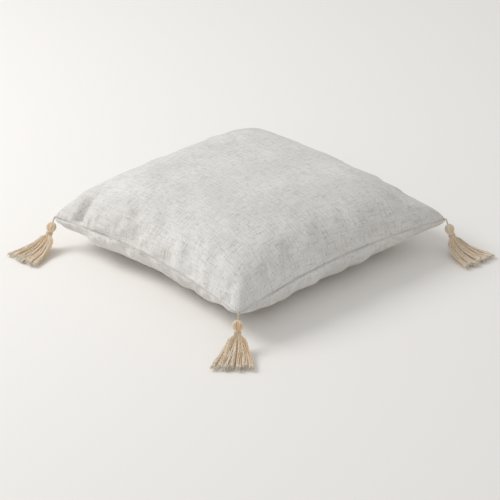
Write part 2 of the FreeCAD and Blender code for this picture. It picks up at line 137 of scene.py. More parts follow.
def two_panel_indices(count):
    """Vertex numbers of the upper and lower grids, which share the vertices of the seam."""
    top = np.arange(count * count).reshape(count, count)
    bottom = top.copy()
    bottom[1:-1, 1:-1] = np.arange((count - 2) ** 2).reshape(count - 2, count - 2) + count * count
    return top, bottom


def two_panel_faces(count):
    t, b = two_panel_indices(count)
    upper = np.stack([t[:-1, :-1], t[1:, :-1], t[1:, 1:], t[:-1, 1:]], -1).reshape(-1, 4)
    lower = np.stack([b[:-1, :-1], b[:-1, 1:], b[1:, 1:], b[1:, :-1]], -1).reshape(-1, 4)
    return np.concatenate([upper, lower])


def joined(upper, lower):
    """One list of points from the two grids."""
    inner = lower[1:-1, 1:-1]
    return np.concatenate([upper.reshape(-1, upper.shape[-1]), inner.reshape(-1, inner.shape[-1])])


def new_mesh(name, points, faces):
    mesh = bpy.data.meshes.new(name)
    mesh.from_pydata(np.asarray(points).tolist(), [], [list(map(int, face)) for face in faces])
    mesh.validate()
    mesh.shade_smooth()
    obj = bpy.data.objects.new(name, mesh)
    bpy.context.scene.collection.objects.link(obj)
    return obj


def get_points(mesh):
    points = np.empty(len(mesh.vertices) * 3, dtype=np.float32)
    mesh.vertices.foreach_get("co", points)
    return points.reshape(-1, 3).astype(float)


# ---- cloth simulation ----------------------------------------------------------------------------

FLAT_LIFT = 0.012  # of the filling between the flat panels when the simulation starts
FLAT_BUMP = 0.0012  # and of each of the waves that make it uneven
FLAT_WAVES = 12
FILL_FRAMES = 30
FILL_PRESSURE = 4.0
PILLOW_BLUR = 60  # passes that leave a smooth pillow without wrinkles


def flat_panels(lines):
    """The two flat-cut panels lying on each other, with a little uneven filling between."""
    share = cloth_share(lines)
    a, b = np.meshgrid(share, share, indexing="ij")
    bumps = 0.0
    for _ in range(FLAT_WAVES):
        along, across = rng.uniform(8.0, 40.0, 2)
        shift, other = rng.uniform(0.0, TURN, 2)
        bumps = bumps + np.sin(along * a + shift) * np.sin(across * b + other)
    lift = (FLAT_LIFT + FLAT_BUMP * bumps) * swell(a, b, 2.0)
    upper = np.stack([a * CLOTH_HALF, b * CLOTH_HALF, lift], -1)
    return joined(upper, upper * [1.0, 1.0, -1.0])


def fill_with_air():
    """Fills two flat panels, sewn together at their edges, with Blender's Cloth. Returns both grids."""
    obj = new_mesh("cover_sim", flat_panels(grid_lines(GRID)), two_panel_faces(GRID))
    modifier = obj.modifiers.new("cloth", "CLOTH")
    cloth = modifier.settings
    cloth.quality = 5
    cloth.mass = 0.3
    cloth.tension_stiffness = 15
    cloth.compression_stiffness = 15
    cloth.shear_stiffness = 5
    cloth.bending_stiffness = 0.5
    cloth.bending_damping = 0.5
    cloth.use_pressure = True
    cloth.uniform_pressure_force = FILL_PRESSURE
    cloth.effector_weights.gravity = 0.0
    modifier.collision_settings.use_collision = False
    modifier.point_cache.frame_start = 1
    modifier.point_cache.frame_end = FILL_FRAMES
    scene = bpy.context.scene
    for number in range(1, FILL_FRAMES + 1):
        scene.frame_set(number)
    settled = get_points(obj.evaluated_get(bpy.context.evaluated_depsgraph_get()).data)
    scene.frame_set(1)
    mesh = obj.data
    bpy.data.objects.remove(obj)
    bpy.data.meshes.remove(mesh)
    top, bottom = two_panel_indices(GRID)
    return settled[top], settled[bottom]


def blurred(field, times):
    for _ in range(times):
        p = np.pad(field, 1, mode="reflect", reflect_type="odd")
        field = (p[:-2, 1:-1] + p[2:, 1:-1] + p[1:-1, :-2] + p[1:-1, 2:] + 4.0 * p[1:-1, 1:-1]) / 8.0
    return field


def symmetric_part(field):
    turned = [np.rot90(field, quarter) for quarter in range(4)]
    return sum(turned + [one.T for one in turned]) / 8.0


def refined(field):
    """The field on a grid of twice as many spans."""
    rows = np.linspace(0.0, GRID - 1.0, FINE)
    whole = np.arange(GRID)
    once = np.array([np.interp(rows, whole, line) for line in field])
    return np.array([np.interp(rows, whole, line) for line in once.T]).T


def grid_normals(points):
    return unit(np.cross(np.gradient(points, axis=0), np.gradient(points, axis=1)))


def unit(vectors):
    length = np.linalg.norm(vectors, axis=-1, keepdims=True)
    return vectors / np.maximum(length, 1e-12)


def wrinkles(grid):
    """How far the filled cloth stands out of a smooth pillow, for a finished panel."""
    coarse = np.stack([blurred(grid[..., axis], PILLOW_BLUR) for axis in range(3)], -1)
    out = ((grid - coarse) * grid_normals(coarse)).sum(-1)
    out = out - symmetric_part(out)
    return refined(blurred(out, 1))


# ---- the cover -----------------------------------------------------------------------------------

WRINKLE_GAIN = 1.2
WRINKLE_LIMIT = 0.005
WRINKLE_REACH = 0.060  # from the seam into the panel
WRINKLE_REST = 0.10  # share that is left in the middle of the panel
WRINKLE_START = 0.012  # from the seam, over which they rise
DENT_START = 0.008
DENT_OVERLAP = 0.002
CORNER_FROM, CORNER_TO = 0.92, 0.97  # of the half side: the thick part of a corner
PUCKERS = ((0.0145, 1.0), (0.0205, 0.8), (0.0112, 0.55))  # pitch and strength
PUCKER_HEIGHT = 0.00060
PUCKER_REACH = 0.016
PUCKER_START = 0.004
PUCKER_DRIFT = 2.2  # how far, in radians, the gathers wander from an even pitch
SIDE_OFFSET = 0.7  # keeps the gathers of neighbouring sides apart


def fold(side, along, reach, lean, half, deep):
    """A slack fold that runs in from the seam of one side.

    along is where it starts along the side, from -1 to 1. reach is how far in it goes and lean how far it
    leans, both as shares of half the side. Its half width and its depth are in metres.
    """
    if side in ("front", "far"):
        sign = 1.0 if side == "far" else -1.0
        return plan(along, sign), plan(along + lean, sign * (1.0 - reach)), half, deep
    sign = 1.0 if side == "right" else -1.0
    return plan(sign, along), plan(sign * (1.0 - reach), along + lean), half, deep


def swelling(start, end, half, deep):
    """A dent between two points of the square from -1 to 1. A depth below 0 raises the cloth."""
    return plan(*start), plan(*end), half, deep


def thick_corner(side_x, side_y, half, deep):
    """A corner that its folded allowances make thick."""
    start = (side_x * CORNER_FROM, side_y * CORNER_FROM)
    return swelling(start, (side_x * CORNER_TO, side_y * CORNER_TO), half, deep)


TOP_DENTS = [
    thick_corner(-1, -1, 0.012, -0.0016),
    thick_corner(1, 1, 0.012, -0.0012),
    thick_corner(-1, 1, 0.012, -0.0030),
    # The pinched corner to the left, with its deep dimple beside the seam
    fold("front", -0.75, 0.10, 0.00, 0.009, 0.0120),
    fold("front", -0.75, 0.25, 0.10, 0.015, 0.0045),
    swelling((-0.85, -0.90), (-0.80, -0.80), 0.013, -0.0030),
    # Slack folds on the front side
    fold("front", -0.40, 0.05, 0.05, 0.012, 0.0030),
    fold("front", -0.15, 0.10, -0.10, 0.015, 0.0050),
    fold("front", 0.20, 0.15, -0.20, 0.017, 0.0045),
    fold("front", 0.45, 0.05, -0.05, 0.014, 0.0035),
    fold("front", 0.70, 0.10, -0.10, 0.016, 0.0030),
    # Both sides of the corner between the front and the right
    fold("front", 0.90, 0.05, -0.05, 0.012, 0.0055),
    fold("right", -0.90, 0.05, 0.10, 0.012, 0.0050),
    swelling((0.80, -0.80), (0.90, -0.90), 0.022, -0.0030),
    fold("right", -0.70, 0.05, 0.05, 0.013, 0.0045),
    # Slack folds on the right side
    fold("right", -0.45, 0.10, 0.05, 0.014, 0.0050),
    fold("right", -0.20, 0.05, 0.05, 0.015, 0.0030),
    fold("right", 0.05, 0.05, 0.05, 0.016, 0.0045),
    fold("right", 0.30, 0.05, 0.00, 0.013, 0.0030),
    fold("right", 0.50, 0.05, 0.00, 0.014, 0.0040),
    fold("right", 0.75, 0.15, -0.05, 0.015, 0.0050),
    # The far and the left sides
    fold("far", 0.80, 0.10, -0.10, 0.015, 0.0040),
    fold("far", -0.80, 0.15, 0.05, 0.014, 0.0050),
    fold("left", -0.40, 0.10, 0.05, 0.015, 0.0040),
    fold("left", 0.10, 0.10, 0.05, 0.016, 0.0035),
    fold("left", 0.55, 0.10, -0.05, 0.015, 0.0040),
    fold("left", 0.80, 0.15, -0.05, 0.014, 0.0050),
    # The filling has slumped away from the far side
    swelling((-0.55, 0.87), (0.75, 0.87), 0.050, 0.0095),
    # Broad unevenness of the filling
    swelling((-0.20, 0.05), (0.25, -0.20), 0.080, 0.0016),
    swelling((0.35, 0.45), (0.50, 0.20), 0.060, 0.0020),
    swelling((-0.55, -0.30), (-0.40, 0.20), 0.060, 0.0018),
    swelling((0.40, -0.50), (0.60, -0.30), 0.050, -0.0012),
]
LOWER_SIDES = {"front": (-0.45, -0.05, 0.35), "right": (-0.30, 0.10, 0.50), "left": (-0.20, 0.30)}
BOTTOM_DENTS = [
    thick_corner(-1, -1, 0.013, -0.0035),
    thick_corner(1, 1, 0.013, -0.0035),
    # The front and right sides hang fuller than the far ones
    swelling((-0.85, -0.95), (-0.50, -0.95), 0.034, -0.0060),
    swelling((0.93, -0.70), (0.96, 0.20), 0.036, -0.0050),
]
for lower_side, middle_places in LOWER_SIDES.items():
    for end_sign in (-1.0, 1.0):
        BOTTOM_DENTS.append(fold(lower_side, 0.80 * end_sign, 0.10, -0.10 * end_sign, 0.013, 0.0030))
    for middle_place in middle_places:
        BOTTOM_DENTS.append(fold(lower_side, middle_place, 0.08, 0.04, 0.016, 0.0021))


def distance_to_line(x, y, start, end):
    run_x, run_y = end[0] - start[0], end[1] - start[1]
    share = ((x - start[0]) * run_x + (y - start[1]) * run_y) / (run_x**2 + run_y**2)
    share = np.clip(share, 0.0, 1.0)
    return np.hypot(x - start[0] - share * run_x, y - start[1] - share * run_y)


def dents(x, y, lines):
    """How far the dents push the cloth out, which is below 0 where they press it in."""
    return -sum(deep * bell(distance_to_line(x, y, start, end) / half) for start, end, half, deep in lines)


def seam_puckers(along, away):
    """Fine gathers that the tight stitching pulls into the cloth beside it."""
    gathers = 0.0
    for pitch, strength in PUCKERS:
        shift = rng.uniform(0.0, TURN)
        drift = rng.uniform(0.010, 0.016)
        wander = PUCKER_DRIFT * np.sin(along / drift)
        gathers = gathers + strength * np.sin(TURN * along / pitch + shift + wander)
    return PUCKER_HEIGHT * gathers * smooth(away / PUCKER_START) * bell(away / PUCKER_REACH)


ON_SEAM = 1e-9  # metres of cloth: nearer to the edge of a panel than this is the seam itself
ON_EDGE = 0.9999  # the same for the square from -1 to 1
TAPE_END = 0.030  # over which the tape's hold ends beyond the zip, then where it starts and how wide it is
TAPE_FROM = 0.012
TAPE_FADE = 0.022
LOWER_SHIFT = 2.0  # between the flat-cut coordinates of the two panels


class Cover:
    """The finished cloth: the outer surface of both panels, and flat-cut coordinates for its weave."""

    def __init__(self, top_wrinkles, bottom_wrinkles):
        lines = grid_lines(FINE)
        self.share = cloth_share(lines)
        self.u, self.v = np.meshgrid(lines, lines, indexing="ij")
        self.a, self.b = np.meshgrid(self.share * CLOTH_HALF, self.share * CLOTH_HALF, indexing="ij")
        from_x_seam = CLOTH_HALF - np.abs(self.a)
        from_y_seam = CLOTH_HALF - np.abs(self.b)
        self.away = np.minimum(from_x_seam, from_y_seam)
        self.near_zip = self.zip_nearness(from_y_seam)
        x, y = plan(self.u, self.v)
        seam = seam_height(self.u, self.v)
        upper = np.stack([x, y, seam + CROWN_UP * swell(self.u, self.v, UP_POWER)], -1)
        lower = np.stack([x, y, seam - CROWN_DOWN * swell(self.u, self.v, DOWN_POWER)], -1)
        self.upper = self.worked(upper, top_wrinkles, TOP_DENTS, 1.0)
        self.lower = self.worked(lower, bottom_wrinkles, BOTTOM_DENTS, -1.0)
        border = self.away < ON_SEAM
        for grid in (self.upper, self.lower):
            grid[border] = self.sunk_seam(x, y, seam)[border]
        self.lower[..., 2] = soft_floor(self.lower[..., 2])

    def zip_nearness(self, from_y_seam):
        """1 along the zip, where the tape keeps the cloth flat."""
        along = 1.0 - smooth((np.abs(self.a) - ZIP_HALF) / TAPE_END)
        across = 1.0 - smooth((from_y_seam - TAPE_FROM) / TAPE_FADE)
        return np.where(self.b > 0.0, along * across, 0.0)

    def sunk_seam(self, x, y, seam):
        """The seam line, pulled in between the two panels."""
        depth = GROOVE_DEPTH + (ZIP_GROOVE - GROOVE_DEPTH) * self.near_zip
        inward_x = np.where(np.abs(self.u) > ON_EDGE, -np.sign(self.u), 0.0)
        inward_y = np.where(np.abs(self.v) > ON_EDGE, -np.sign(self.v), 0.0)
        return np.stack([x + inward_x * depth, y + inward_y * depth, seam], -1)

    def worked(self, points, wrinkle, dent_lines, side):
        """The panel with its wrinkles, dents and puckers, along normals that point out on the given side."""
        normals = grid_normals(points) * side
        moved = np.clip(WRINKLE_GAIN * wrinkle, -WRINKLE_LIMIT, WRINKLE_LIMIT)
        fade = WRINKLE_REST + (1.0 - WRINKLE_REST) * bell(self.away / WRINKLE_REACH)
        moved = moved * smooth(self.away / WRINKLE_START) * fade
        pressed = dents(points[..., 0], points[..., 1], dent_lines)
        moved = moved + pressed * smooth((self.away + DENT_OVERLAP) / DENT_START)
        on_x_side = np.abs(self.a) > np.abs(self.b)
        along = np.where(on_x_side, self.b + SIDE_OFFSET * np.sign(self.a), self.a)
        moved = moved + seam_puckers(along, self.away)
        moved = moved * (1.0 - self.near_zip)
        return points + normals * moved[..., None]

    def points(self):
        return joined(self.upper, self.lower)

    def cloth(self):
        """Flat-cut coordinates. The lower panel's lie beside the upper's, so that their weaves differ."""
        upper = np.stack([self.a, self.b, self.away], -1)
        lower = np.stack([self.a + LOWER_SHIFT, self.b, self.away], -1)
        return joined(upper, lower)


CASE_SHARES = (0.952, 0.960)  # in plan and in height, of the cover's form
FIBRE_SHARES = (0.935, 0.930)


def insert_form(cover, plan_share, height_share):
    """The insert's form, on a coarser grid: the cover's, drawn in towards the middle of the seam's sheet."""
    sheet = seam_height(cover.u, cover.v)
    drawn_in = []
    for grid in (cover.upper, cover.lower):
        height = sheet + (grid[..., 2] - sheet) * height_share
        whole = np.stack([grid[..., 0] * plan_share, grid[..., 1] * plan_share, height], -1)
        drawn_in.append(whole[::2, ::2])
    return joined(*drawn_in)


# ---- materials -----------------------------------------------------------------------------------


class Nodes:
    """Short names for the shader nodes that the materials share."""

    def __init__(self, name, roughness):
        self.material = bpy.data.materials.new(name)
        self.material.use_nodes = True
        self.tree = self.material.node_tree
        self.shader = self.tree.nodes["Principled BSDF"]
        self.shader.inputs["Roughness"].default_value = roughness
        self.shader.inputs["Specular IOR Level"].default_value = 0.25

    def add(self, kind, settings=None, **inputs):
        node = self.tree.nodes.new(kind)
        for key, value in (settings or {}).items():
            setattr(node, key, value)
        for key, value in inputs.items():
            self.feed(node.inputs[key.replace("_", " ")], value)
        return node

    def feed(self, socket, value):
        if isinstance(value, bpy.types.NodeSocket):
            self.tree.links.new(value, socket)
        else:
            socket.default_value = value

    def math(self, operation, first, second=0.0, third=0.0):
        node = self.tree.nodes.new("ShaderNodeMath")
        node.operation = operation
        for socket, value in zip(node.inputs, (first, second, third)):
            self.feed(socket, value)
        return node.outputs[0]

    def stretched(self, vector, scale, location=(0.0, 0.0, 0.0)):
        node = self.add("ShaderNodeMapping", Vector=vector, Scale=scale, Location=location)
        return node.outputs[0]

    def noise(self, vector, scale, detail=2.0, roughness=0.5):
        node = self.add("ShaderNodeTexNoise", Vector=vector, Scale=scale, Detail=detail, Roughness=roughness)
        return node.outputs["Fac"]

    def band(self, value, low, high, to_low=0.0, to_high=1.0):
        node = self.add("ShaderNodeMapRange", {"interpolation_type": "SMOOTHSTEP"})
        for socket, number in zip(node.inputs, (value, low, high, to_low, to_high)):
            self.feed(socket, number)
        return node.outputs[0]

    def mix(self, factor, first, second, blend="MIX"):
        node = self.add("ShaderNodeMix", {"data_type": "RGBA", "blend_type": blend})
        for socket, value in ((node.inputs[0], factor), (node.inputs[6], first), (node.inputs[7], second)):
            self.feed(socket, value)
        return node.outputs[2]

    def attribute(self, name, output="Vector"):
        return self.add("ShaderNodeAttribute", {"attribute_name": name}).outputs[output]

    def parts(self, vector):
        return self.add("ShaderNodeSeparateXYZ", Vector=vector).outputs

    def bump(self, height, distance, strength=1.0):
        node = self.add("ShaderNodeBump", Height=height, Distance=distance, Strength=strength)
        self.tree.links.new(node.outputs[0], self.shader.inputs["Normal"])

    def colour(self, value):
        self.feed(self.shader.inputs["Base Color"], value)

    def sheen(self, weight, roughness, tint):
        self.shader.inputs["Sheen Weight"].default_value = weight
        self.shader.inputs["Sheen Roughness"].default_value = roughness
        self.shader.inputs["Sheen Tint"].default_value = (*tint, 1.0)


THREADS = TURN / 0.0026  # radians per metre of cloth: two threads to each turn
LINEN = (0.74, 0.728, 0.705, 1.0)
LINEN_PALE = (0.83, 0.822, 0.806, 1.0)
LINEN_WARM = (0.52, 0.49, 0.44, 1.0)
SLUB = (0.40, 0.352, 0.292, 1.0)
SPECK = (0.22, 0.165, 0.11, 1.0)
WEAVE_AMOUNT = 0.16  # how much of its colour each of these lays over the cloth
STREAK_AMOUNT = 0.36
SLUB_AMOUNT = 0.52
SPECK_AMOUNT = 0.60
SEAM_PAINTED_SHADE = 0.88  # brightness of the cloth at the seam: painted shade in the groove between the panels
SEAM_PAINTED_SHADE_WIDTH = 0.0030


def thick_places(n, cloth, across, along, shifts, detail, low, high):
    """Thick places in the threads of both directions. The lower the frequency along, the longer they are."""
    first = n.noise(n.stretched(cloth, (across, along, 0.0), shifts[0]), 1.0, detail)
    second = n.noise(n.stretched(cloth, (along, across, 0.0), shifts[1]), 1.0, detail)
    return n.math("MAXIMUM", n.band(first, low, high), n.band(second, low, high))


def linen():
    n = Nodes("linen_look_cover", 0.92)
    cloth = n.attribute("cloth")
    a, b, away = n.parts(cloth)
    wander = n.noise(cloth, 55.0, 3.0)
    wander = n.math("MULTIPLY", n.math("SUBTRACT", wander, 0.5), 5.0)
    warp = n.math("SINE", n.math("ADD", n.math("MULTIPLY", a, THREADS), wander))
    weft = n.math("SINE", n.math("ADD", n.math("MULTIPLY", b, THREADS), wander))
    weave = n.math("MULTIPLY", warp, weft)
    # Threads of uneven thickness, which run the whole way along one direction of the weave
    thick_a = n.noise(n.stretched(cloth, (330.0, 20.0, 0.0)), 1.0, 2.0, 0.6)
    thick_b = n.noise(n.stretched(cloth, (20.0, 330.0, 0.0), (7.0, 3.0, 0.0)), 1.0, 2.0, 0.6)
    uneven = n.math("ADD", thick_a, thick_b)
    slubs = thick_places(n, cloth, 430.0, 85.0, ((3.0, 9.0, 0.0), (1.0, 5.0, 0.0)), 1.0, 0.64, 0.73)
    streaks = thick_places(n, cloth, 370.0, 34.0, ((5.0, 2.0, 0.0), (2.0, 6.0, 0.0)), 2.0, 0.47, 0.72)
    specks = n.band(n.noise(cloth, 330.0, 1.0), 0.73, 0.78)
    patches = n.noise(cloth, 9.0, 3.0)
    colour = n.mix(n.band(patches, 0.3, 0.7), LINEN, LINEN_PALE)
    colour = n.mix(n.math("MULTIPLY", n.band(weave, -1.0, 1.0), WEAVE_AMOUNT), colour, LINEN_WARM)
    colour = n.mix(n.math("MULTIPLY", streaks, STREAK_AMOUNT), colour, SLUB)
    colour = n.mix(n.math("MULTIPLY", slubs, SLUB_AMOUNT), colour, SLUB)
    colour = n.mix(n.math("MULTIPLY", specks, SPECK_AMOUNT), colour, SPECK)
    # Painted shade: the cloth darkens towards the seam, where the groove between the panels lies in shade
    shade = n.band(away, 0.0, SEAM_PAINTED_SHADE_WIDTH, SEAM_PAINTED_SHADE, 1.0)
    painted_seam_shade = n.add("ShaderNodeCombineColor", Red=shade, Green=shade, Blue=shade).outputs[0]
    n.colour(n.mix(1.0, colour, painted_seam_shade, "MULTIPLY"))
    height = n.math("ADD", n.math("MULTIPLY", weave, 0.30), n.math("MULTIPLY", uneven, 1.1))
    height = n.math("ADD", height, n.math("MULTIPLY", slubs, 0.8))
    n.bump(height, 0.00034, 0.9)
    n.sheen(0.22, 0.5, (1.0, 0.97, 0.92))
    return n.material


def plain_cloth(name, colour, shadow, pitch, sheen=0.2):
    """Fine even cloth or webbing, with its threads in all three directions of the object."""
    n = Nodes(name, 0.9)
    place = n.add("ShaderNodeTexCoord").outputs["Object"]
    x, y, z = n.parts(place)
    turns = TURN / pitch
    across = n.math("SINE", n.math("MULTIPLY", n.math("ADD", x, y), turns))
    along = n.math("SINE", n.math("MULTIPLY", n.math("ADD", n.math("SUBTRACT", x, y), z), turns))
    weave = n.math("MULTIPLY", across, along)
    blotch = n.noise(place, 60.0, 3.0)
    shade = n.math("MULTIPLY", n.band(weave, -1.0, 1.0), 0.35)
    n.colour(n.mix(n.math("ADD", shade, n.math("MULTIPLY", blotch, 0.4)), colour, shadow))
    n.bump(weave, 0.00012, 0.8)
    n.sheen(sheen, 0.5, (1.0, 1.0, 1.0))
    return n.material


def fibre_fill():
    n = Nodes("loose_fibre", 0.95)
    place = n.add("ShaderNodeTexCoord").outputs["Object"]
    tufts = n.noise(place, 45.0, 5.0, 0.7)
    n.colour(n.mix(tufts, (0.86, 0.86, 0.85, 1.0), (0.72, 0.72, 0.72, 1.0)))
    n.bump(tufts, 0.002, 1.0)
    n.sheen(0.3, 0.6, (1.0, 1.0, 1.0))
    return n.material


def smooth_solid(name, colour, worn, roughness, metallic, coat):
    """Moulded plastic or enamelled metal, with fine grain and slight wear."""
    n = Nodes(name, roughness)
    place = n.add("ShaderNodeTexCoord").outputs["Object"]
    grain = n.noise(place, 900.0, 3.0)
    rubbed = n.band(n.noise(place, 220.0, 4.0), 0.55, 0.75)
    n.colour(n.mix(n.math("MULTIPLY", rubbed, 0.5), colour, worn))
    n.feed(n.shader.inputs["Roughness"], n.band(grain, 0.2, 0.8, roughness - 0.06, roughness + 0.1))
    n.shader.inputs["Metallic"].default_value = metallic
    n.shader.inputs["Specular IOR Level"].default_value = 0.5
    n.shader.inputs["Coat Weight"].default_value = coat
    n.bump(grain, 0.00003, 0.5)
    return n.material


YARN = (0.93, 0.69, 0.42, 1.0)
YARN_PALE = (0.99, 0.90, 0.76, 1.0)
# Painted shade for the grooves between the plies; a little of it also darkens the fibre fuzz
YARN_SHADE_AND_FUZZ = (0.58, 0.36, 0.185, 1.0)
YARN_END = (0.99, 0.92, 0.80, 1.0)
CORD_PALE = (0.88, 0.77, 0.62, 1.0)
CORD = (0.74, 0.60, 0.44, 1.0)


def yarn(name, pale, base):
    """Twisted cotton: "twist" holds the turns along a strand, its tone with painted shade for how deep it lies,
    and how near its end is.
    """
    n = Nodes(name, 0.88)
    turns, tone_and_shade, end = n.parts(n.attribute("twist"))
    place = n.add("ShaderNodeTexCoord").outputs["Object"]
    fuzz = n.noise(place, 1500.0, 2.0)
    ply = n.math("SINE", n.math("MULTIPLY", turns, TURN))
    # A low tone darkens a strand: random tone, and painted shade where it lies under others
    light = n.mix(n.band(tone_and_shade, 0.0, 1.0), base, pale)
    spun = n.math("SUBTRACT", 1.0, end)
    # Painted shade in the grooves between the plies, left out at the frayed ends
    ply_groove_shade = n.math("MULTIPLY", n.band(ply, -1.0, -0.1, 1.0, 0.0), 0.32)
    light = n.mix(n.math("MULTIPLY", spun, ply_groove_shade), light, YARN_SHADE_AND_FUZZ)
    light = n.mix(n.math("MULTIPLY", fuzz, 0.12), light, YARN_SHADE_AND_FUZZ)
    light = n.mix(n.math("MULTIPLY", end, 0.8), light, YARN_END)
    n.colour(light)
    height = n.math("ADD", n.math("MULTIPLY", ply, 0.5), n.math("MULTIPLY", fuzz, 0.7))
    n.bump(height, 0.00025, 0.9)
    n.sheen(0.12, 0.45, (1.0, 0.93, 0.80))
    return n.material


# ---- strands of yarn -----------------------------------------------------------------------------


class Strands:
    """Collects tubes that follow lines, and makes one mesh of them."""

    def __init__(self):
        self.points = []
        self.faces = []
        self.twist = []
        self.count = 0

    def tube(self, path, radii, sides=6, ply_turns=0.0, ply_depth=0.0, tone_and_shade=0.5, ends=None):
        """A tube along path, with one radius to each point. ply_turns is how often its two plies turn in all."""
        count = len(path)
        tangent = unit(np.gradient(path, axis=0))
        side = np.cross(tangent[0], [0.0, 0.0, 1.0])
        if np.linalg.norm(side) < 0.1:
            side = np.cross(tangent[0], [1.0, 0.0, 0.0])
        frames = []
        for here in tangent:
            side = side - here * side.dot(here)
            side = side / np.linalg.norm(side)
            frames.append(side)
        side = np.array(frames)
        up = np.cross(tangent, side)
        run = np.concatenate([[0.0], np.cumsum(np.linalg.norm(np.diff(path, axis=0), axis=1))])
        phase = rng.uniform(0.0, math.pi)
        turn = phase + TURN * ply_turns * run / run[-1]
        angle = np.arange(sides) * TURN / sides
        lobe = 1.0 - ply_depth * (0.5 - 0.5 * np.cos(2.0 * (angle[None, :] - turn[:, None])))
        reach = radii[:, None] * lobe
        across = side[:, None, :] * (reach * np.cos(angle))[..., None]
        ring = across + up[:, None, :] * (reach * np.sin(angle))[..., None]
        points = (path[:, None, :] + ring).reshape(-1, 3)
        base = self.count
        index = np.arange(count * sides).reshape(count, sides) + base
        following = np.roll(index, -1, axis=1)
        quads = np.stack([index[:-1], following[:-1], following[1:], index[1:]], -1).reshape(-1, 4)
        self.faces += quads.tolist()
        self.faces.append(index[0][::-1].tolist())
        self.faces.append(index[-1].tolist())
        self.points.append(points)
        end = np.zeros(count) if ends is None else ends
        turns = (turn[:, None] - angle[None, :]) / math.pi
        values = (turns, np.full((1, 1), tone_and_shade), end[:, None])
        spread = [np.broadcast_to(value, (count, sides)) for value in values]
        self.twist.append(np.stack(spread, -1).reshape(-1, 3))
        self.count += count * sides

    def object(self, name, material):
        obj = new_mesh(name, np.concatenate(self.points), self.faces)
        add_vectors(obj, "twist", np.concatenate(self.twist))
        obj.data.materials.append(material)
        return obj


def add_vectors(obj, name, values):
    layer = obj.data.attributes.new(name, "FLOAT_VECTOR", "POINT")
    layer.data.foreach_set("vector", np.ascontiguousarray(values, dtype=np.float32).ravel())


# ---- tassels -------------------------------------------------------------------------------------

ANCHOR_GAP = 0.003  # from the tip of the corner to the anchor that the loop swings at
HEAD_START = 0.0114
HEAD_LENGTH = 0.022
HEAD_RADIUS = 0.0112
NECK_RADIUS = 0.0072
NECK_LENGTH = 0.0025
SKIRT_LENGTH = 0.094
SKIRT_HALF_WIDTH = 0.043
SKIRT_HALF_HEIGHT = 0.0046
SKIRT_MIDDLE_HEIGHT = 0.0075
SKIRT_FLARE = 0.72  # the lower, the sooner the skirt widens
SKIRT_POINTS = 95
HEAD_DROOP = math.radians(60.0)
END_DROOP = math.radians(1.0)
SETTLING = 2.4  # the higher, the sooner the skirt lies down
YARN_RADIUS = 0.00105
# The corner that each tassel hangs at, and the way it lies, in degrees about +Z from +X
TASSELS = {
    "front": {"corner": (1, -1), "heading": -49.0},
    "left": {"corner": (-1, -1), "heading": -83.0},
    "right": {"corner": (1, 1), "heading": -2.0},
    "back": {"corner": (-1, 1), "heading": 135.0},
}


def tassel_matrix(corner, heading):
    """From the tassel's frame, X along the way it lies and Z up, to the CAD frame."""
    reach = CORNER_TIP + ANCHOR_GAP / math.sqrt(2.0)
    place = Matrix.Translation((corner[0] * reach, corner[1] * reach, CORNER_HEIGHT))
    return np.array(place @ Matrix.Rotation(math.radians(heading), 4, "Z"))


def moved(points, matrix):
    return points @ matrix[:3, :3].T + matrix[:3, 3]


def on_axis(distance):
    return np.array([distance * math.cos(HEAD_DROOP), 0.0, -distance * math.sin(HEAD_DROOP)])


AXIS = on_axis(1.0)
AXIS_UP = np.array([math.sin(HEAD_DROOP), 0.0, math.cos(HEAD_DROOP)])
SIDEWAYS = np.array([0.0, 1.0, 0.0])


def skirt_line():
    """The middle line of the skirt, from its neck: share of its length, places, directions up from its
    middle, half widths and half heights."""
    run = np.linspace(0.0, SKIRT_LENGTH, SKIRT_POINTS)
    share = run / SKIRT_LENGTH
    droop = END_DROOP + (HEAD_DROOP - END_DROOP) * (1.0 - share) ** SETTLING
    middle = 0.5 * (droop[1:] + droop[:-1])
    step = run[1]
    x = np.concatenate([[0.0], np.cumsum(step * np.cos(middle))])
    z = -np.concatenate([[0.0], np.cumsum(step * np.sin(middle))])
    start = on_axis(HEAD_START + HEAD_LENGTH + NECK_LENGTH)
    places = start + np.stack([x, 0.0 * x, z], -1)
    up = np.stack([np.sin(droop), 0.0 * x, np.cos(droop)], -1)
    width = NECK_RADIUS + (SKIRT_HALF_WIDTH - NECK_RADIUS) * share**SKIRT_FLARE
    fuller = SKIRT_MIDDLE_HEIGHT - 0.5 * (NECK_RADIUS + SKIRT_HALF_HEIGHT)
    bulge = 4.0 * share * (1.0 - share) * fuller
    height = NECK_RADIUS + (SKIRT_HALF_HEIGHT - NECK_RADIUS) * share + bulge
    return share, places, up, width, height


CLUMPS = 7
STRANDS_PER_CLUMP = 12
GOLDEN_TURN = TURN / 2.618  # spreads the strands of a clump evenly
NECK_GATHER = 0.14  # share of the skirt over which strands leave the neck's ring
BUNDLE_RADIUS = 0.0034  # of a clump at the neck, and how much it opens towards its end
BUNDLE_SPREAD = 0.0012
WAVE = 0.0009
CRIMP = 0.00045
CRIMP_START = 0.2
SKIRT_OVERHANG = 0.0010  # beyond the half width, for the outermost clumps
SKIRT_ROUNDING = 0.0045


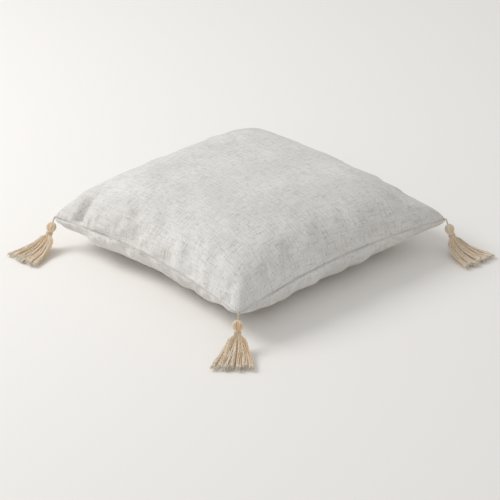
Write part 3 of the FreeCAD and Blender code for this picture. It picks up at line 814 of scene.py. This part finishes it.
def skirt(matrix):
    """Strands that leave the neck together, gather in clumps and spread on the floor."""
    share, places, up, width, height = skirt_line()
    strands = Strands()
    clump_at = (np.arange(CLUMPS) + 0.5) / CLUMPS * 2.0 - 1.0
    clump_at = clump_at + rng.uniform(-0.05, 0.05, CLUMPS)
    for number, aim in enumerate(clump_at):
        clump_lift = rng.uniform(-0.30, 0.35)
        clump_reach = rng.uniform(0.93, 1.0)
        clump_turn = rng.uniform(0.0, TURN)
        spin = rng.uniform(0.6, 1.3) * rng.choice([-1.0, 1.0])
        for strand in range(STRANDS_PER_CLUMP):
            ring = clump_turn + strand * GOLDEN_TURN
            out = math.sqrt(strand / (STRANDS_PER_CLUMP - 1.0))
            reach = clump_reach * rng.uniform(0.965, 1.0)
            # Round the neck at the start; then in the clump's own bundle
            start_share = 1.0 - (number + rng.uniform(0.0, 1.0)) / CLUMPS
            start_angle = math.pi * start_share * rng.choice([-1.0, 1.0])
            start_ring = rng.uniform(0.35, 0.86)
            gather = smooth(share / NECK_GATHER)
            bundle = (BUNDLE_RADIUS + BUNDLE_SPREAD * share) * out * (1.0 + 0.3 * rng.uniform(-1.0, 1.0))
            turning = ring + spin * 2.0 * share
            wave_at = TURN * (share * rng.uniform(1.2, 2.4) + rng.uniform(0.0, 1.0))
            wave = WAVE * np.sin(wave_at) * share
            room = height - YARN_RADIUS * 1.15
            side_start = NECK_RADIUS * start_ring * math.cos(start_angle)
            lift_start = NECK_RADIUS * start_ring * math.sin(start_angle)
            side_later = aim * (width + SKIRT_OVERHANG) + bundle * np.cos(turning) + wave
            lift_later = clump_lift * room + bundle * np.sin(turning)
            side = (1.0 - gather) * side_start + gather * side_later
            lift = (1.0 - gather) * lift_start + gather * lift_later
            edge = np.sqrt(np.maximum(1.0 - (side / (width + SKIRT_ROUNDING)) ** 2, 0.10))
            lift = np.clip(lift, -room * edge, room * edge)
            crimp_at = TURN * (share * rng.uniform(9.0, 13.0) + rng.uniform(0.0, 1.0))
            crimp = CRIMP * smooth(share / CRIMP_START)
            side = side + crimp * np.cos(crimp_at)
            lift = lift + crimp * np.sin(crimp_at)
            path = places + up * lift[:, None] + SIDEWAYS * side[:, None]
            last = int(round(reach * (len(share) - 1)))
            path = moved(path[last % 2 : last + 1 : 2], matrix)
            path[:, 2] = np.maximum(path[:, 2], YARN_RADIUS * 1.02)
            add_yarn(strands, path, 0.5 + 0.5 * float(np.mean(lift[40:] / room[40:])))
    return strands


PLY_PITCH = 0.0058
FIBRES = 7
FIBRE_STEPS = np.array([0.0, 0.35, 0.7, 1.0])[:, None]
FIBRE_RADII = np.array([0.00042, 0.00040, 0.00034, 0.00020])
FIBRE_ROOT = 0.0008  # how far a loose fibre starts inside the strand


def add_yarn(strands, path, height_share):
    """One strand. height_share says how high in the skirt it lies, since the lowest ones get the most painted
    shade.
    """
    count = len(path)
    along = np.linspace(0.0, 1.0, count)
    length = np.linalg.norm(np.diff(path, axis=0), axis=1).sum()
    thick = YARN_RADIUS * rng.uniform(0.88, 1.12)
    uneven = 0.08 * np.sin(along * rng.uniform(20.0, 40.0))
    radii = thick * (1.0 + uneven + 0.30 * smooth((along - 0.93) / 0.07))
    radii[-1] *= 0.72
    # Random tone, darkened for the lower strands: painted shade under the strands above
    tone_and_shade = rng.uniform(0.30, 1.0) * (0.55 + 0.45 * smooth(height_share * 1.5))
    ends = smooth((along - 0.90) / 0.10)
    strands.tube(path, radii, 6, length / PLY_PITCH, 0.36, tone_and_shade, ends)
    # The ply opens at the cut end into a few loose fibres
    direction = unit(path[-1] - path[-3])
    for _ in range(FIBRES):
        spread = unit(rng.normal(size=3))
        reach = rng.uniform(0.0026, 0.0060)
        onward = direction * (reach * FIBRE_STEPS - FIBRE_ROOT)
        fibre = path[-1] + onward + spread * (0.0004 + 0.0018 * FIBRE_STEPS * FIBRE_STEPS)
        fibre[:, 2] = np.maximum(fibre[:, 2], 0.0004)
        strands.tube(fibre, FIBRE_RADII, 5, 0.25, 0.0, 1.0, np.ones(len(fibre)))


HEAD_YARNS = 34
HEAD_POINTS = 22
FOLD_ANGLE = math.radians(148.0)  # how far round the fold the head stays a ball, before it closes to the neck
CLEFT = 0.55  # depth of the part between the lobes, and the turn of it about the axis
CLEFT_TURN = 0.25
CORE_SHARE = 0.62


def head_outline():
    """Distance along the axis and radius of the outer yarns' middles, over the fold and down to the neck."""
    angle = np.linspace(0.06, 1.0, HEAD_POINTS) * FOLD_ANGLE
    half = HEAD_LENGTH / 2.0
    along = half - (half - YARN_RADIUS) * np.cos(angle)
    radius = (HEAD_RADIUS - YARN_RADIUS) * np.sin(angle)
    neck = np.linspace(along[-1], HEAD_LENGTH + NECK_LENGTH * 0.9, 6)[1:]
    inward = NECK_RADIUS - YARN_RADIUS - radius[-1]
    closing = radius[-1] + inward * smooth(np.linspace(0.0, 1.0, 6)[1:])
    return np.concatenate([along, neck]), np.concatenate([radius, closing])


def head(matrix):
    """The folded end of the hank: yarns over a core, parted into two lobes by the loop that holds it."""
    strands = Strands()
    along, radius = head_outline()
    base = on_axis(HEAD_START)
    for number in range(HEAD_YARNS):
        angle = TURN * (number + 0.3 * rng.uniform(-1.0, 1.0)) / HEAD_YARNS
        cleft = CLEFT * math.cos(angle - CLEFT_TURN) ** 6
        slip = 0.10 * rng.uniform(-1.0, 1.0)
        share = np.linspace(0.0, 1.0, len(along))
        turning = angle + slip * np.sin(math.pi * share)
        high = 1.0 - cleft * bell((share - 0.35) / 0.45) - 0.05 * rng.uniform(0.0, 1.0)
        out = radius * high
        ring = AXIS_UP * (out * np.cos(turning))[:, None] + SIDEWAYS * (out * np.sin(turning))[:, None]
        path = moved(base + AXIS * along[:, None] + ring, matrix)
        radii = np.full(len(path), YARN_RADIUS * rng.uniform(0.95, 1.15))
        radii = radii * (0.75 + 0.25 * smooth(share / 0.2))
        turns = rng.uniform(3.0, 4.2)
        # Random tone, lowered in the cleft between the lobes: painted shade
        strands.tube(path, radii, 6, turns, 0.30, rng.uniform(0.45, 1.0) * (1.0 - 1.2 * cleft))
    return strands


def head_core(matrix):
    """The yarns inside the head, which close the gaps between the outer ones. Their low tone is painted shade in
    those gaps.
    """
    strands = Strands()
    along, radius = head_outline()
    start = on_axis(HEAD_START)
    path = moved(start + AXIS * along[:, None], matrix)
    strands.tube(path, np.maximum(CORE_SHARE * radius, 0.0010), 20, 1.5, 0.0, 0.1)
    return strands


BINDING_TURNS = 3.4
BINDING_CORD = 0.00052  # radius
BINDING_WIDTH = 0.0034
BINDING_RADIUS = NECK_RADIUS - 0.0001
BINDING_START = HEAD_LENGTH + NECK_LENGTH - 0.0021


def binding(matrix):
    """Turns of cord round the neck."""
    strands = Strands()
    share = np.linspace(0.0, 1.0, 120)
    angle = TURN * BINDING_TURNS * share
    radius = BINDING_RADIUS
    along = BINDING_START + BINDING_WIDTH * share
    base = on_axis(HEAD_START)
    ring = AXIS_UP * (radius * np.cos(angle))[:, None] + SIDEWAYS * (radius * np.sin(angle))[:, None]
    path = moved(base + AXIS * along[:, None] + ring, matrix)
    strands.tube(path, np.full(len(path), BINDING_CORD), 6, 40.0, 0.22, 0.75)
    return strands


LOOP_LENGTH = 0.011
LOOP_CORD = 0.00092  # radius
ROOT_LENGTH = 0.0075


def twisted_pair(strands, path, turns, matrix):
    """Two legs of cord twisted round each other along a path."""
    share = np.linspace(0.0, 1.0, len(path))
    across = unit(np.cross(unit(np.gradient(path, axis=0)), SIDEWAYS))
    for shift in (0.0, math.pi):
        angle = TURN * turns * share + shift
        out = SIDEWAYS * np.cos(angle)[:, None] + across * np.sin(angle)[:, None]
        leg = path + LOOP_CORD * 0.95 * out
        strands.tube(moved(leg, matrix), np.full(len(leg), LOOP_CORD), 10, 4.0 * turns, 0.2, 0.6)
    return strands


def loop(matrix):
    """The doubled cord down to the head."""
    down = np.linspace(-0.0004, LOOP_LENGTH + 0.0020, 26)
    return twisted_pair(Strands(), AXIS * down[:, None], 1.6, matrix)


def loop_root(corner, heading, matrix):
    """The end of the cord that is sewn into the corner. It comes out level and bends down at the anchor."""
    towards = math.atan2(corner[1], corner[0]) - math.radians(heading)
    back = np.array([-math.cos(towards), -math.sin(towards), 0.0]) * ROOT_LENGTH
    share = np.linspace(0.0, 1.0, 12)[:, None]
    path = back * (1.0 - share) ** 2 + AXIS * 0.0008 * share**2
    return twisted_pair(Strands(), path, 0.8, matrix)


# ---- building ------------------------------------------------------------------------------------


COTTON = (0.86, 0.86, 0.84, 1.0)
COTTON_SHADOW = (0.70, 0.70, 0.69, 1.0)
TAPE = (0.74, 0.70, 0.62, 1.0)
TAPE_SHADOW = (0.52, 0.48, 0.41, 1.0)
TEETH = (0.74, 0.69, 0.60, 1.0)
TEETH_WORN = (0.58, 0.53, 0.45, 1.0)
SLIDER = (0.70, 0.66, 0.57, 1.0)
SLIDER_WORN = (0.50, 0.47, 0.42, 1.0)
THREAD = (0.76, 0.71, 0.61, 1.0)
THREAD_SHADOW = (0.50, 0.45, 0.37, 1.0)


def finished(obj, body, slot, *nodes):
    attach(obj, body)
    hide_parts(*nodes)
    return obj


def build_cushion():
    top, bottom = fill_with_air()
    top_wrinkles = wrinkles(top)
    bottom_wrinkles = -wrinkles(bottom)
    made = Cover(top_wrinkles, bottom_wrinkles)
    cover = new_mesh("cover", made.points(), two_panel_faces(FINE))
    add_vectors(cover, "cloth", made.cloth())
    cover.data.materials.append(linen())
    finished(cover, "cushion", "cover_linen", "cover_top_panel", "cover_bottom_panel")
    case = new_mesh("insert_case", insert_form(made, *CASE_SHARES), two_panel_faces(GRID))
    case.data.materials.append(plain_cloth("insert_cotton", COTTON, COTTON_SHADOW, 0.0008))
    finished(case, "cushion", "insert_cotton", "insert_case_top", "insert_case_bottom")
    fill = new_mesh("insert_fibre", insert_form(made, *FIBRE_SHARES), two_panel_faces(GRID))
    fill.data.materials.append(fibre_fill())
    finished(fill, "cushion", "insert_fibre", "insert_filling")


def build_tassels():
    skirt_yarn = yarn("tassel_yarn", YARN_PALE, YARN)
    cord = yarn("tassel_cord", CORD_PALE, CORD)
    for name, tassel in TASSELS.items():
        matrix = tassel_matrix(tassel["corner"], tassel["heading"])
        body = f"tassel_{name}"
        made = skirt(matrix).object(f"skirt_{name}", skirt_yarn)
        finished(made, body, "tassel_yarn", f"tassel_skirt_{name}")
        made = head(matrix).object(f"head_{name}", skirt_yarn)
        finished(made, body, "tassel_yarn", f"tassel_head_{name}")
        core = head_core(matrix).object(f"head_core_{name}", skirt_yarn)
        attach(core, body)
        made = binding(matrix).object(f"binding_{name}", cord)
        finished(made, body, "tassel_cord", f"tassel_binding_{name}")
        made = loop(matrix).object(f"loop_{name}", cord)
        finished(made, f"loop_{name}", "tassel_cord", f"corner_loop_{name}")
        root = loop_root(tassel["corner"], tassel["heading"], matrix).object(f"loop_root_{name}", cord)
        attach(root, "cushion")


def dress_zip():
    tape = plain_cloth("zip_tape", TAPE, TAPE_SHADOW, 0.0007)
    teeth = smooth_solid("zip_teeth", TEETH, TEETH_WORN, 0.38, 0.0, 0.1)
    metal = smooth_solid("zip_slider", SLIDER, SLIDER_WORN, 0.34, 0.35, 0.3)
    thread = plain_cloth("sewing_thread", THREAD, THREAD_SHADOW, 0.0009)
    for name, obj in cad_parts.items():
        if name == "seam_thread":
            dress(obj, thread)
        elif name.startswith("zip_tape"):
            dress(obj, tape)
        elif name.startswith(("zip_slider", "zip_pull")):
            dress(obj, metal)
        elif name.startswith("zip_"):
            dress(obj, teeth)


def dress(obj, material):
    obj.data.materials.clear()
    obj.data.materials.append(material)


# ---- floor, light and camera ---------------------------------------------------------------------


FLOOR_HALF = 40
FLOOR_GAP = 0.0004
FLOOR_COLOUR = (0.94, 0.918, 0.885, 1.0)
WORLD_STRENGTH = 0.58
LIT_POINT = (0.0, 0.0, 0.08)


def pale_floor():
    corners = [(x * FLOOR_HALF, y * FLOOR_HALF, 0) for x, y in ((-1, -1), (1, -1), (1, 1), (-1, 1))]
    obj = new_mesh("floor", corners, [(0, 1, 2, 3)])
    obj.location.z = -FLOOR_GAP
    n = Nodes("pale_floor", 0.85)
    n.colour(FLOOR_COLOUR)
    obj.data.materials.append(n.material)


def lamp(name, place, aim, size, watts, colour=(1.0, 1.0, 1.0)):
    data = bpy.data.lights.new(name, "AREA")
    data.shape = "DISK"
    data.size = size
    data.energy = watts
    data.color = colour
    obj = bpy.data.objects.new(name, data)
    obj.location = place
    obj.rotation_euler = (Vector(aim) - Vector(place)).to_track_quat("-Z", "Y").to_euler()
    bpy.context.scene.collection.objects.link(obj)


def studio():
    world = bpy.data.worlds.new("studio")
    world.use_nodes = True
    background = world.node_tree.nodes["Background"]
    background.inputs["Color"].default_value = (1.0, 1.0, 1.0, 1.0)
    background.inputs["Strength"].default_value = WORLD_STRENGTH
    bpy.context.scene.world = world
    lamp("key", (-2.2, -1.5, 2.5), LIT_POINT, 1.8, 66.0)
    lamp("fill", (2.2, -2.6, 0.8), LIT_POINT, 2.4, 2.0, (1.0, 0.90, 0.80))
    bpy.context.scene.view_settings.view_transform = "Standard"


AZIMUTH = math.radians(48.55)
ELEVATION = math.radians(26.83)
DISTANCE = 4.5
LENS = 156.1
ROLL = math.radians(-1.3)
TILT = math.radians(0.78)
MIDDLE_HEIGHT = 0.06


def camera():
    data = bpy.data.cameras.new("camera")
    data.lens = LENS
    data.sensor_width = 36.0
    data.dof.use_dof = False
    obj = bpy.data.objects.new("camera", data)
    level = math.cos(ELEVATION)
    back = Vector((math.sin(AZIMUTH) * level, -math.cos(AZIMUTH) * level, math.sin(ELEVATION)))
    obj.location = Vector((0.0, 0.0, MIDDLE_HEIGHT)) + back * DISTANCE
    look = (-back).to_track_quat("-Z", "Y").to_matrix().to_4x4()
    turned = Matrix.Rotation(-TILT, 4, "X") @ Matrix.Rotation(ROLL, 4, "Z")
    obj.matrix_world = Matrix.Translation(obj.location) @ look @ turned
    bpy.context.scene.collection.objects.link(obj)
    bpy.context.scene.camera = obj


build_cushion()
build_tassels()
dress_zip()
pale_floor()
studio()
camera()
